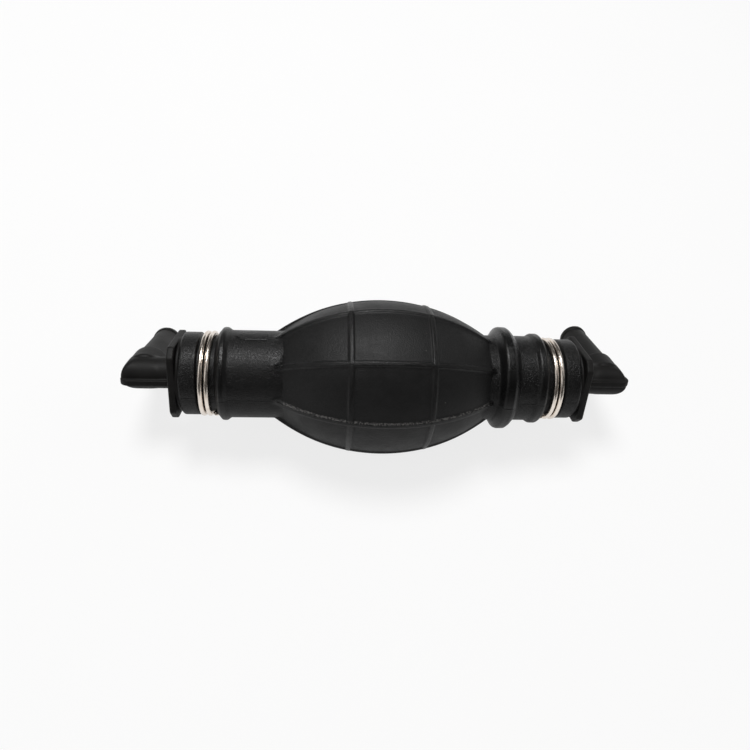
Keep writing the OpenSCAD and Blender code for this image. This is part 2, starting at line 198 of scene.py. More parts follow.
CORNERS = np.array(OUTLET_CUFF + OUTLET_BEAD + LARGE_BEAD + INLET_BEAD + INLET_CUFF)


def side_arc(x, grow=0.0):
    """Radius of the bulb's side at x, grown by a height: the far side of a circle about a low centre."""
    reach = np.clip((SIDE_ARC_R + grow) ** 2 - (x + PEAK_SHIFT) ** 2, 0, None)
    return np.sqrt(reach) + SIDE_CENTRE_R


def neck_radius(x):
    """Radius of necks, beads and cuffs: straight runs between the corners, averaged over a quarter mm."""
    spread = np.linspace(-CORNER_SPREAD, CORNER_SPREAD, 7)
    return np.interp(np.asarray(x)[..., None] + spread, CORNERS[:, 0], CORNERS[:, 1]).mean(axis=-1)


def spaced(low, high, fine_spans, fine, coarse):
    """Places from low to high: a small step within the fine spans and a large one elsewhere."""
    dense = np.linspace(low, high, 8000)
    step = np.full(len(dense), float(coarse))
    for a, b in fine_spans:
        step = np.where((dense > a) & (dense < b), fine, step)
    count = np.concatenate([[0], np.cumsum(np.diff(dense) / step[:-1])])
    return np.interp(np.linspace(0, count[-1], int(count[-1]) + 2), count, dense)


print("foot of the bulb at %.2f and %.2f mm" % (-FOOT_L - PEAK_SHIFT, FOOT_L - PEAK_SHIFT))

# %% [markdown]
# ## Ribs and panels
# Eight ribs run along the bulb and two run round it. Between the ribs the eight panels are flatter than a
# true circle, which is why the light jumps from panel to panel. So the radius sinks between two ribs by a
# parabola of the angle, and only a little on the panel that the pump lies on. Towards its foot a panel sinks
# more, so the bulb meets the neck in a scalloped line, and its grained part stands a shade higher than the
# smooth strips at its ends. A rib stands on the arc and not on the neck, so it runs out to a point where its
# top meets the neck. A fine line of flash marks where the two halves of the mould met.

# %% Heights over the skin
LONG_RIBS = 8
RIB_PITCH = 360 / LONG_RIBS
PARTING_ANGLE = 23
RIB_H = 0.62
RIB_FLANK = (0.5, 1.2)  # a rib falls from its full height to nothing between these distances from its middle
RIB_SPAN = (-41, 37)
RING_RIB_X = 13.25
RING_FLANK = (0.45, 1.2)
PANEL_SAG, RESTING_SAG = 0.7, 0.25
RESTING_PANEL = 5.5  # the panel that the pump lies on, counted in pitches from the parting line
FULL_R = BULB_R - 2  # the sag is complete where the arc has this radius
FOOT_SINK = (1.65, 0.6)  # at the outlet's foot and at the inlet's
FOOT_SPAN = ((-22, -36), (24, 34))  # the sinking starts at the first x and is complete at the second
FOOT_FILLET = 0.3
PANEL_EDGE = (-34.7, 33.4)
PANEL_STEP, STEP_HALF = 0.12, 0.15
FLASH_H, FLASH_FLANK = 0.1, (0.2, 1.0)
FLASH_FROM = FOOT_L + 1  # the flash shows on the necks only


def rib_offset(elevation):
    """Degrees from the nearest long rib, from -22.5 to 22.5."""
    return (np.degrees(elevation) - PARTING_ANGLE + RIB_PITCH / 2) % RIB_PITCH - RIB_PITCH / 2


def skin_and_crest(x, elevation):
    """Outer radius of the rubber, and how much a point lies on a rib's crest (0 to 1). The arc sinks by
    1 - nearness to a rib squared, meets the neck in a fillet, and carries the ribs and the flash."""
    arc = side_arc(x)
    neck = neck_radius(x)
    fullness = smoothstep(NECK_R, FULL_R, arc)
    offset = np.abs(rib_offset(elevation))
    from_resting = elevation - math.radians(PARTING_ANGLE + RESTING_PANEL * RIB_PITCH)
    resting = np.cos(from_resting) > math.cos(math.pi / LONG_RIBS)
    sag = np.where(resting, RESTING_SAG, PANEL_SAG)
    near_rib = 1 - offset / (RIB_PITCH / 2)
    low, high = PANEL_EDGE
    on_panel = plateau(x, low - STEP_HALF, low + STEP_HALF, high - STEP_HALF, high + STEP_HALF)
    foot = sum(sink * smoothstep(*span, x) for sink, span in zip(FOOT_SINK, FOOT_SPAN))
    arc = (arc + fullness * (RESTING_SAG - sag * (1 - near_rib**2)) - foot * (1 - near_rib**2)
           + PANEL_STEP * on_panel * ~resting)
    skin = soft_max(arc, neck, FOOT_FILLET)
    across = 1 - smoothstep(*RIB_FLANK, np.radians(offset) * skin)
    rib_top = side_arc(x, RIB_H) + fullness * RESTING_SAG
    along = np.clip(rib_top - skin, 0, None) * across * (x > RIB_SPAN[0]) * (x < RIB_SPAN[1])
    ring = RIB_H * (1 - smoothstep(*RING_FLANK, np.abs(np.abs(x) - RING_RIB_X)))
    from_parting = np.abs((np.degrees(elevation) - PARTING_ANGLE + 90) % 180 - 90)
    flash = FLASH_H * (1 - smoothstep(*FLASH_FLANK, from_parting)) * (np.abs(x + PEAK_SHIFT) > FLASH_FROM)
    rise = np.maximum(along, ring)
    return skin + rise + flash, np.clip(rise / RIB_H, 0, 1)


rib_and_panel = np.radians(PARTING_ANGLE + np.array([1, 0.5]) * RIB_PITCH)
widest, _ = skin_and_crest(np.full(2, -PEAK_SHIFT), rib_and_panel)
print("widest place: a rib is %.2f mm from the axis, the middle of a panel %.2f mm" % tuple(widest))

# %% [markdown]
# ## Turn the outline into the moulding
# The rows of the grid follow the whole outline: along the outside, round the inlet's end, back through the
# bore and the hollow, and round the outlet's end. The columns go round the axis and crowd together at the
# ribs. A grid that closes both ways has no seam and no open edge.

# %% The rubber
RIDGE_U = (3, 14.2, 18.6)  # the spigots' ridges, from the rubber's end
RIDGE_GROOVE = 0.75
RIDGE_GROOVE_HALF = (0.9, 1.2)  # half its width at the bottom and at the top
# The rows crowd together at the grooves, the beads, the panels' ends and the ring ribs.
FINE_SPANS = [(-64, -62), (-57.6, -52), (-35.2, -33.4), (-15, -11.7), (11.7, 15), (32.6, 46), (49, 60.6)]
INNER_SPANS = [(-68, -48), (45, 65)]
SECTOR = np.array([0, 0.45, 0.9, 1.4, 1.9, 2.5, 3.2, 4.4, 6.5, 9.5, 13.5, 18, 22.5])  # degrees from a rib


def inner_radius(x):
    """Radius of the hollow: the side arc less the wall, or the bore, with grooves for the spigots' ridges."""
    r = soft_max(side_arc(x, -BULB_WALL), BORE_R, FOOT_FILLET)
    bottom, top = RIDGE_GROOVE_HALF
    for u in RIDGE_U:
        for at in (-OUTLET_END + u, INLET_END - u):
            r = r + RIDGE_GROOVE * plateau(x, at - top, at - bottom, at + bottom, at + top)
    return r


quarter = np.radians(np.linspace(0, 90, 7))
outer_x = spaced(-OUTLET_END + END_ROUND, INLET_END - END_ROUND, FINE_SPANS, fine=0.2, coarse=1.0)
inner_x = spaced(-OUTLET_END, INLET_END, INNER_SPANS, fine=0.6, coarse=2.5)[::-1]
round_in = END_ROUND * (1 - np.cos(quarter))
round_out = END_ROUND * np.sin(quarter)
right_x, right_r = INLET_END - END_ROUND + round_out[1:], CUFF_R - round_in[1:]
left_x, left_r = -OUTLET_END + END_ROUND - round_out[:0:-1], CUFF_R - round_in[:0:-1]
sector = np.concatenate([-SECTOR[:0:-1], SECTOR[:-1]])
columns = np.radians((PARTING_ANGLE + np.arange(LONG_RIBS)[:, None] * RIB_PITCH + sector).ravel())
outer_r, crest = skin_and_crest(outer_x[:, None], columns[None, :])
plain = np.concatenate([right_r, inner_radius(inner_x), left_r])[:, None] + 0 * columns
row_x = np.concatenate([outer_x, right_x, inner_x, left_x])[:, None]
rubber_grid = on_pump(row_x, np.concatenate([outer_r, plain]), columns[None, :])
points = rubber_grid.reshape(-1, 3)
quads, _, _ = grid_quads(*rubber_grid.shape[:2], True, True)
bulb = new_object("rubber_bulb", points, outward(points, quads))
bulb.data.attributes.new("crest", "FLOAT", "POINT").data.foreach_set(
    "value", np.concatenate([crest, 0 * plain]).astype(np.float32).ravel())

# %% [markdown]
# ## The flow arrow
# A raised arrow on the outlet neck shows which way the liquid goes. It is a thin patch that follows the neck.
# Its height comes from the distance to the arrow's outline, so its edges slope like those of a moulded mark,
# and the slope that faces the softbox shines as a fine line. Outside the outline the patch dips just under
# the skin, where it isn't seen.

# %% A patch on the neck, raised inside the arrow's outline
ARROW_ELEVATION = 116
ARROW_TIP = -51.5
ARROW_L = 11.5
ARROW_HEAD = (3.9, 7.0)  # its length and width
ARROW_SHAFT = 4.1
ARROW_H = 0.22
ARROW_DEPTH = 0.08  # how far the patch dips under the skin
ARROW_EDGE = (-0.15, 0.55)  # the slope runs from just outside the outline to this far inside
ARROW_MARGIN = 0.4  # round the arrow, and below the skin to the patch's underside


def arrow_distance(p, q):
    """How far a point lies inside the arrow's outline. p runs from the tip to the tail, q across."""
    slope = ARROW_HEAD[1] / 2 / ARROW_HEAD[0]
    head = np.minimum((p * slope - np.abs(q)) / math.hypot(1, slope), ARROW_HEAD[0] - p)
    shaft = np.minimum(np.minimum(ARROW_SHAFT / 2 - np.abs(q), ARROW_L - p), p - ARROW_HEAD[0] / 2)
    return np.maximum(head, shaft)


def slab(name, top, bottom):
    """A closed thin piece between two grids of one size, with a wall round their edge."""
    rows, cols = top.shape[:2]
    quads, _, _ = grid_quads(rows, cols)
    index = np.arange(rows * cols).reshape(rows, cols)
    rim = np.concatenate([index[0, :-1], index[:-1, -1], index[-1, :0:-1], index[:0:-1, 0]])
    after, below = np.roll(rim, -1), rows * cols
    walls = np.stack([after, rim, rim + below, after + below], axis=1)
    points = np.concatenate([top.reshape(-1, 3), bottom.reshape(-1, 3)])
    return new_object(name, points, outward(points, np.concatenate([quads, quads[:, ::-1] + below, walls])))


p = np.linspace(-ARROW_MARGIN, ARROW_L + ARROW_MARGIN, 130)[:, None]
q = np.linspace(-ARROW_HEAD[1] / 2 - ARROW_MARGIN, ARROW_HEAD[1] / 2 + ARROW_MARGIN, 70)[None, :]
raised = smoothstep(*ARROW_EDGE, arrow_distance(p, q)) * (ARROW_H + ARROW_DEPTH) - ARROW_DEPTH
arrow_angle = math.radians(ARROW_ELEVATION) + q / NECK_R
arrow = slab("flow_arrow", on_pump(ARROW_TIP + p, NECK_R + raised, arrow_angle),
             on_pump(ARROW_TIP + p, NECK_R - ARROW_MARGIN + 0 * raised, arrow_angle))

# %% [markdown]
# ## The elbows as a distance field
# An elbow joins round, square and flat shapes, and every joint between them has a small fillet. Booleans and
# bevels on such a mix often fail. A distance field doesn't: each plain shape is a function that is negative
# inside it, a soft minimum joins two shapes with a fillet, and a soft maximum cuts one from another. Both
# ends of the pump have the same elbow, so it is worked out once. Here x runs along the hose stem, u runs
# outwards along the pump's axis from the rubber's end, and y is square to both.

# %% The spigot and the flange
EDGE, FILLET, SMALL_FILLET = 0.35, 0.7, 0.2
SPIGOT_R, SPIGOT_L = 11.3, 22
RIDGE_H = 0.7
RIDGE_RUN = (-0.9, 0, 0.8, 0.95)  # where a ridge starts to rise, is up, starts to fall and is down
SHOULDER_H, SHOULDER_GAP = 1.1, 0.05
FLANGE_GAP, FLANGE_T = 1.1, 2.3
FLANGE_R, CORNER_CUT = 15.6, math.radians(8)  # to its eight corners, and half the angle of a cut
FLANGE_EDGE = 0.5
JOINED_U = FLANGE_GAP + 1  # shapes that meet the flange end inside it, here


def between(v, low, high):
    """Negative between low and high, as a slab's distance."""
    return np.maximum(low - v, v - high)


def plug(off_axis, u):
    """The spigot with its ridges, and the shoulder that stops against the rubber."""
    spigot_r = SPIGOT_R + sum(RIDGE_H * plateau(u, *(edge - v for edge in RIDGE_RUN)) for v in RIDGE_U)
    spigot = soft_max(off_axis - spigot_r, between(u, -SPIGOT_L, JOINED_U), EDGE)
    shoulder = soft_max(off_axis - SPIGOT_R - SHOULDER_H, between(u, SHOULDER_GAP, JOINED_U), EDGE)
    return soft_min(spigot, shoulder, SMALL_FILLET)


def flange(x, y, u):
    """A square plate: the larger of |x| and |y| gives its sides, and their sum cuts its corners off."""
    side = FLANGE_R * math.cos(math.pi / 4 - CORNER_CUT)
    plate = soft_max(np.maximum(np.abs(x), np.abs(y)) - side,
                     (np.abs(x) + np.abs(y)) / math.sqrt(2) - FLANGE_R * math.cos(CORNER_CUT), FLANGE_EDGE)
    return soft_max(plate, between(u, FLANGE_GAP, FLANGE_GAP + FLANGE_T), FLANGE_EDGE)


print("the flange's side is %.2f mm" % (2 * FLANGE_R * math.cos(math.pi / 4 - CORNER_CUT)))

# %% The corner, the stem and the way through
LEG_R, ROOT_R, ROOT_L = 5.35, 6.3, 9.2
STEM_RISE = 10.3  # from the flange to the stem's axis
STEM_U = FLANGE_GAP + FLANGE_T + STEM_RISE
STEM_L, STEM_R, NECKED_R, BARB_R, TIP_R = 35, 5.4, 4.8, 5.15, 4.55
BARB_X = (32.3, 32.8, 34.4)  # where the barb starts to rise, is up and starts to narrow
STEM_RUN = np.array([(0, STEM_R), (ROOT_L, STEM_R), (BARB_X[0], NECKED_R), (BARB_X[1], BARB_R),
                     (BARB_X[2], BARB_R), (STEM_L, TIP_R)])
CORNER_EDGE, ROOT_EDGE = 1.2, 0.8
WEB_OUT, WEB_OVER = 1.45, 0.6  # how far it stands beyond the leg and over the root
WEB_X, WEB_U = -LEG_R - WEB_OUT, STEM_U + ROOT_R + WEB_OVER
WEB_FROM, WEB_T = 0.4, 2.0
WEB_ROUND, WEB_RUN, WEB_SLOPE = 3.2, 3.7, 0.15
CHAMBER_R, CHAMBER_STOP = 9.2, 5.5
CHAMBER_NECK_R, CHAMBER_TOP = 8.2, 0.5
HOLE_R = 3.1


def corner_and_stem(x, y, u, off_axis, off_stem):
    """Two cylinders that meet in a mitre, the stem with its barb, and the flat web round the corner."""
    leg = soft_max(off_axis - LEG_R, np.minimum(u - STEM_U, off_stem - ROOT_R), CORNER_EDGE)
    leg = np.maximum(leg, JOINED_U - u)
    root = soft_max(off_stem - ROOT_R, np.minimum(-x, off_axis - LEG_R), CORNER_EDGE)
    root = soft_max(root, x - ROOT_L, ROOT_EDGE)
    stem = soft_max(off_stem - np.interp(x, STEM_RUN[:, 0], STEM_RUN[:, 1]), between(x, 0, STEM_L), EDGE)
    slope = WEB_SLOPE * np.maximum(x - WEB_X - WEB_ROUND, 0)
    web = round_corner(WEB_X - x, u - WEB_U + slope, WEB_ROUND)
    web = np.maximum(np.maximum(web, x - WEB_RUN), np.maximum(JOINED_U - u, np.minimum(x, STEM_U - u)))
    web = soft_max(web, between(y, WEB_FROM, WEB_FROM + WEB_T), EDGE)
    return soft_min(soft_min(leg, root, FILLET), soft_min(stem, web, EDGE), EDGE)


def way_through(x, u, off_axis, off_stem):
    """The valve's chamber with its narrower top, and two bores that meet in the corner."""
    chamber = np.minimum(np.maximum(off_axis - CHAMBER_R, u + CHAMBER_STOP),
                         np.maximum(off_axis - CHAMBER_NECK_R, u - CHAMBER_TOP))
    bores = np.minimum(np.maximum(off_axis - HOLE_R, u - STEM_U), np.maximum(off_stem - HOLE_R, -x))
    return soft_min(chamber, bores, SMALL_FILLET)


def elbow_field(x, y, u):
    """Less than 0 inside the elbow. Soft minimum joins its shapes, and soft maximum cuts the way through."""
    off_axis, off_stem = np.hypot(x, y), np.hypot(y, u - STEM_U)
    outside = soft_min(corner_and_stem(x, y, u, off_axis, off_stem), flange(x, y, u), FILLET)
    outside = soft_min(outside, plug(off_axis, u), SMALL_FILLET)
    return soft_max(outside, -way_through(x, u, off_axis, off_stem), EDGE)


print("the field inside the stem's wall: %.2f mm" % elbow_field(20.0, (STEM_R + HOLE_R) / 2, STEM_U))

# %% [markdown]
# ## From field to mesh
# The field is sampled on a grid. A cell whose corners lie on both sides of the surface gets one vertex, at
# the mean of the places where its edges cross the surface, and each crossed edge gets a quad between the
# four cells around it. Then each vertex slides down the field's slope onto the exact surface. This recipe is
# known as surface nets.

# %% Surface nets with whole arrays
def slope_of(field, place, reach):
    """The field's gradient by central differences, a small reach to each side."""
    return np.stack([(field(*(place + reach * axis).T) - field(*(place - reach * axis).T)) / (2 * reach)
                     for axis in np.eye(3)], axis=-1)


def edge_quads(inside, number, axis):
    """A quad for each grid edge along the axis that the surface crosses, between the four cells round it."""
    start = np.array(inside.shape) - axis
    near = inside[:start[0], :start[1], :start[2]]
    far = inside[axis[0]:, axis[1]:, axis[2]:]
    edge = np.argwhere(near != far)
    one, two = np.roll(axis, 1), np.roll(axis, 2)
    ring = np.stack([number[tuple((edge - d).T)] for d in (0 * axis, one, one + two, two)], axis=-1)
    return np.where(near[tuple(edge.T)][:, None], ring, ring[:, ::-1])


def onto_surface(field, points, step, passes=3, reach=0.02, flattest=0.2):
    """Points moved down the slope by field * slope / slope^2, at most half a step in each pass."""
    for _ in range(passes):
        slope = slope_of(field, points, reach)
        move = field(*points.T)[:, None] * slope / np.maximum((slope**2).sum(axis=1, keepdims=True), flattest)
        points = points - np.clip(move, -step / 2, step / 2)
    return points


def field_surface(field, low, high, step):
    """Points and outward quads of the surface where the field is 0."""
    low = np.array(low, float)
    count = np.ceil((np.array(high) - low) / step).astype(int) + 1
    ticks = [low[k] + step * np.arange(count[k]) for k in range(3)]
    value = field(ticks[0][:, None, None], ticks[1][None, :, None], ticks[2][None, None, :])
    inside = value < 0
    corners = np.array([(i, j, k) for i in (0, 1) for j in (0, 1) for k in (0, 1)])
    full = sum(inside[i:count[0] - 1 + i, j:count[1] - 1 + j, k:count[2] - 1 + k].astype(np.int8)
               for i, j, k in corners)
    active = (full > 0) & (full < 8)
    cells = np.argwhere(active)
    number = np.full(active.shape, -1)
    number[active] = np.arange(len(cells))
    total, hits = np.zeros((len(cells), 3)), np.zeros((len(cells), 1))
    quads = []
    for axis in np.eye(3, dtype=int):
        for corner in corners[corners @ axis == 0]:
            a, b = cells + corner, cells + corner + axis
            va, vb = value[tuple(a.T)], value[tuple(b.T)]
            crossed = ((va < 0) != (vb < 0))[:, None]
            share = np.where(crossed, (va / np.where(va == vb, 1, va - vb))[:, None], 0)
            total += crossed * (a + share * axis)
            hits += crossed
        quads.append(edge_quads(inside, number, axis))
    points = onto_surface(field, low + step * total / hits, step)
    return points, outward(points, np.concatenate(quads))


FIELD_STEP = 0.32
FIELD_LOW, FIELD_HIGH = (-16.8, -16.8, -23), (36, 16.8, 22.2)
elbow_points, elbow_quads = field_surface(elbow_field, FIELD_LOW, FIELD_HIGH, FIELD_STEP)
print("elbow: %d quads, %.0f mm3 of plastic" % (len(elbow_quads), signed_volume(elbow_points, elbow_quads)))

# %% [markdown]
# ## Put both elbows in place
# The elbow is turned so that its hose stem points back and down by its own angle. At the outlet the axis u
# runs to -X and at the inlet to +X, and a plain turn does both, so neither elbow is a mirror image.

# %% One elbow at each end
TURN = {"outlet": 38.5, "inlet": 30.7}  # degrees that each stem dips below level
SIGN = {"outlet": -1, "inlet": 1}
END_X = {"outlet": BULB_X - OUTLET_END, "inlet": BULB_X + INLET_END}


def place_elbow(end):
    """The elbow with its stem along (0, cos t, -sin t), u along the axis, and y square to both."""
    t, sign = math.radians(TURN[end]), SIGN[end]
    stem = np.array([0, math.cos(t), -math.sin(t)])
    side = np.array([0, sign * math.sin(t), sign * math.cos(t)])
    turned = (elbow_points[:, :1] * stem + elbow_points[:, 1:2] * side
              + elbow_points[:, 2:] * np.array([sign, 0, 0]))
    return new_object(end + "_connector", (turned + [END_X[end], AXIS[1], AXIS[2]]) * MM, elbow_quads)


elbows = {end: place_elbow(end) for end in SIGN}

# %% [markdown]
# ## Wound wire
# A clip is two turns of spring wire, and a valve spring is a helix too. A circle is carried along the helix,
# and its ends are domed. The frame that carries the circle comes from the helix's own tangent and the
# direction away from its axis, so the tube can't twist. The UV map runs round the wire and along it.

# %% A tube along a path, with domed ends
DOME = np.radians([84, 66, 45, 22])  # how far each closing ring lies towards the end's middle
DOME_H = 0.4  # a dome's height as a share of the wire's radius


def tube(name, path, outward_dir, radius, sides):
    """A closed tube. Each ring is cos * side + sin * up, shrunk over the last rings to dome the ends."""
    tangent = np.gradient(path, axis=0)
    tangent /= np.linalg.norm(tangent, axis=1, keepdims=True)
    up = np.cross(tangent, outward_dir)
    up /= np.linalg.norm(up, axis=1, keepdims=True)
    side = np.cross(up, tangent)
    length, rings = len(path), len(DOME)
    pick = np.concatenate([np.zeros(rings, int), np.arange(length), np.full(rings, length - 1)])
    shift = np.concatenate([-np.sin(DOME), np.zeros(length), np.sin(DOME[::-1])]) * radius * DOME_H
    width = np.concatenate([np.cos(DOME), np.ones(length), np.cos(DOME[::-1])]) * radius
    centre = path[pick] + shift[:, None] * tangent[pick]
    angle = (2 * np.pi * np.arange(sides) / sides)[None, :, None]
    ring = np.cos(angle) * side[pick][:, None] + np.sin(angle) * up[pick][:, None]
    points = (centre[:, None] + ring * width[:, None, None]).reshape(-1, 3) * MM
    quads, row, col = grid_quads(len(pick), sides, False, True)
    along = np.concatenate([[0], np.cumsum(np.linalg.norm(np.diff(centre, axis=0), axis=1))])
    uv = np.stack([col / sides, along[row]], axis=-1)
    caps = [np.arange(sides)[::-1], np.arange(sides) + (len(pick) - 1) * sides]
    if signed_volume(points, quads) < 0:
        quads, uv, caps = quads[:, ::-1], uv[:, ::-1], [c[::-1] for c in caps]
    made = new_object(name, points, quads.tolist() + [c.tolist() for c in caps])
    layer = made.data.uv_layers.new(name="along")
    layer.data.foreach_set("uv", np.concatenate([uv.ravel(), np.zeros(4 * sides)]))
    return made


def wound(name, x0, pitch, turns, start, radius, wire, sides=16, per_turn=72):
    """A helix about the pump's axis: it starts at x0 and elevation start and moves pitch along X a turn."""
    t = np.linspace(0, turns, int(turns * per_turn) + 1)
    angle = math.radians(start) + 2 * np.pi * t
    away = np.stack([0 * t, -np.cos(angle), np.sin(angle)], axis=1)
    path = np.array([0, AXIS[1], AXIS[2]]) + radius * away + np.outer(x0 + pitch * t, [1, 0, 0])
    return tube(name, path, away, wire / 2, sides)


# %% The two clips and the two valve springs
WIRE_D, WIRE_GAP, CLIP_TURNS, CLIP_START = 1.6, 0.45, 2.1, -53
CLIP_PROUD, CLIP_PLAY = 0.5, 0.1  # how far it stands over the cuff, and its play beside the groove's wall
CLIP_R = CUFF_R + CLIP_PROUD - WIRE_D / 2
SPRING_WIRE, SPRING_R, SPRING_TURNS = 0.7, 3.6, 4.5
SPRING_SPAN = (6.77, 13.63)  # its first and last turn, from the seat's face towards the outlet
SEAT_X = {"outlet": END_X["outlet"] + SPIGOT_L, "inlet": END_X["inlet"] - CHAMBER_STOP}
spring_pitch = -(SPRING_SPAN[1] - SPRING_SPAN[0]) / SPRING_TURNS
clips, springs = {}, {}
for end, sign in SIGN.items():
    first = END_X[end] - sign * (CLIP_INSET + WIRE_D / 2 + CLIP_PLAY)
    clip_pitch = -sign * (WIRE_D + WIRE_GAP)
    clips[end] = wound(end + "_clip", first, clip_pitch, CLIP_TURNS, CLIP_START, CLIP_R, WIRE_D)
    springs[end] = wound(end + "_spring", SEAT_X[end] - SPRING_SPAN[0], spring_pitch, SPRING_TURNS, 0,
                         SPRING_R, SPRING_WIRE, sides=12, per_turn=40)

# %% [markdown]
# ## Shader maths as plain sums
# A material in Blender is a graph of nodes. Written out node by node it hides what it computes. The class
# below wraps an output socket, so that mask * 0.4 + grain adds the Math nodes by itself. Any other node comes
# from one method: its settings are set first, and then its sockets get values or links.

# %% A socket that can be used in sums
class Signal:
    """An output socket of a node tree that takes part in Python expressions."""

    def __init__(self, tree, socket=None):
        self.tree, self.socket = tree, socket

    def node(self, kind, settings=None, inputs=None, output=0):
        """Adds a node, and returns the named or numbered output of it."""
        made = self.tree.nodes.new("ShaderNode" + kind)
        for key, value in (settings or {}).items():
            setattr(made, key, value)
        for key, value in (inputs or {}).items():
            if isinstance(value, Signal):
                self.tree.links.new(value.socket, made.inputs[key])
            else:
                made.inputs[key].default_value = value
        return Signal(self.tree, made.outputs[output] if made.outputs else None)

    def math(self, operation, other):
        """A Math node on this value and another one."""
        return self.node("Math", {"operation": operation}, {0: self, 1: other})

    def __add__(self, other):
        return self.math("ADD", other)

    def __sub__(self, other):
        return self.math("SUBTRACT", other)

    def __rsub__(self, other):
        return self.node("Math", {"operation": "SUBTRACT"}, {0: other, 1: self})

    def __mul__(self, other):
        return self.math("MULTIPLY", other)

    __radd__, __rmul__ = __add__, __mul__

    def ramp(self, low, high):
        """0 where the value is low, 1 where it is high, and a soft step between. Low may be the larger."""
        step = self.node("MapRange", {"interpolation_type": "SMOOTHSTEP"},
                         {"Value": self, "From Min": min(low, high), "From Max": max(low, high)})
        return step if low < high else 1 - step

    def mix(self, a, b):
        """The colour a where this value is 0 and b where it is 1."""
        return self.node("Mix", {"data_type": "RGBA"}, {0: self, 6: a, 7: b}, output=2)

    def noise(self, size, detail=2.0, stretch=(1, 1, 1)):
        """Noise with features of about that size in mm, on this vector, from 0 to 1."""
        scaled = self.node("Mapping", {}, {"Vector": self, "Scale": [s / (size * MM) for s in stretch]})
        return self.node("TexNoise", {}, {"Vector": scaled, "Scale": 1.0, "Detail": detail})

    def bump(self, height_mm):
        """A bent normal for a height field of 0 to 1 that stands for that many mm."""
        return self.node("Bump", {}, {"Height": self, "Strength": 1.0, "Distance": height_mm * MM})


def finish(name, make, backdrop=0.0):
    """A material. make(place) gets the object coordinates and returns the shader's socket values.
    backdrop is how far the camera and reflections see it as plain white, whatever light falls on it."""
    material = bpy.data.materials.new(name)
    material.use_nodes = True
    tree = material.node_tree
    tree.nodes.clear()
    place = Signal(tree).node("TexCoord", {}, {}, "Object")
    shader = place.node("BsdfPrincipled", {}, make(place))
    if backdrop:
        straight, mirrored, through = (place.node("LightPath", {}, {}, "Is %s Ray" % kind)
                                       for kind in ("Camera", "Glossy", "Transmission"))
        seen = straight.math("MAXIMUM", mirrored).math("MAXIMUM", through)
        white = place.node("Emission", {}, {"Color": (1, 1, 1, 1), "Strength": 1.0})
        shader = place.node("MixShader", {}, {0: seen * backdrop, 1: shader, 2: white})
    place.node("OutputMaterial", {}, {"Surface": shader})
    print("%s: %d nodes" % (name, len(tree.nodes)))
    return material


def grey(value, warm=0.0):
    """A near-neutral colour. warm above 0 leans to red and below 0 to blue."""
    return (value * (1 + warm), value, value * (1 - warm), 1)


# %% [markdown]
# ## Black rubber
# The mould was left rough on the necks and cuffs, so they glitter with a coarse grain. The panels of the bulb
# have a finer, duller grain, and the crests of the ribs and the beads are rubbed smooth. The lower mould half
# was a little rougher than the upper one, and its colour is painted paler, a painted reflection of the pale
# floor.
# The line between the halves runs along the sides, where the upper edge of the rib has painted glints: light
# flecks in the colour that stand in for the sparkle of the light on it. All of this is read from the place on
# the pump, in mm from the axis.

# %% The rubber's finish
BEAD_R = (15.1, 16)  # from the necks' skin to the beads' tops
BEADS_BEYOND = ((-50, -51), (36, 37))  # there are beads only past these places
GRAIN_BLEND = 0.1  # half the width over which the panels' grain sets in
MOULD_BLEND = 0.15  # and the same for the lower mould half
GLINT_FROM, GLINT_TO = (0.45, 0.7), (1.35, 1.05)  # heights over the parting line


def pump_place(place):
    """Separate x, back and up, measured in mm from the middle of the bulb."""
    parts = []
    for channel, centre in zip("XYZ", (BULB_X, AXIS[1], AXIS[2])):
        raw = place.node("SeparateXYZ", {}, {0: place}, channel)
        parts.append(raw * (1 / MM) - centre)
    return parts


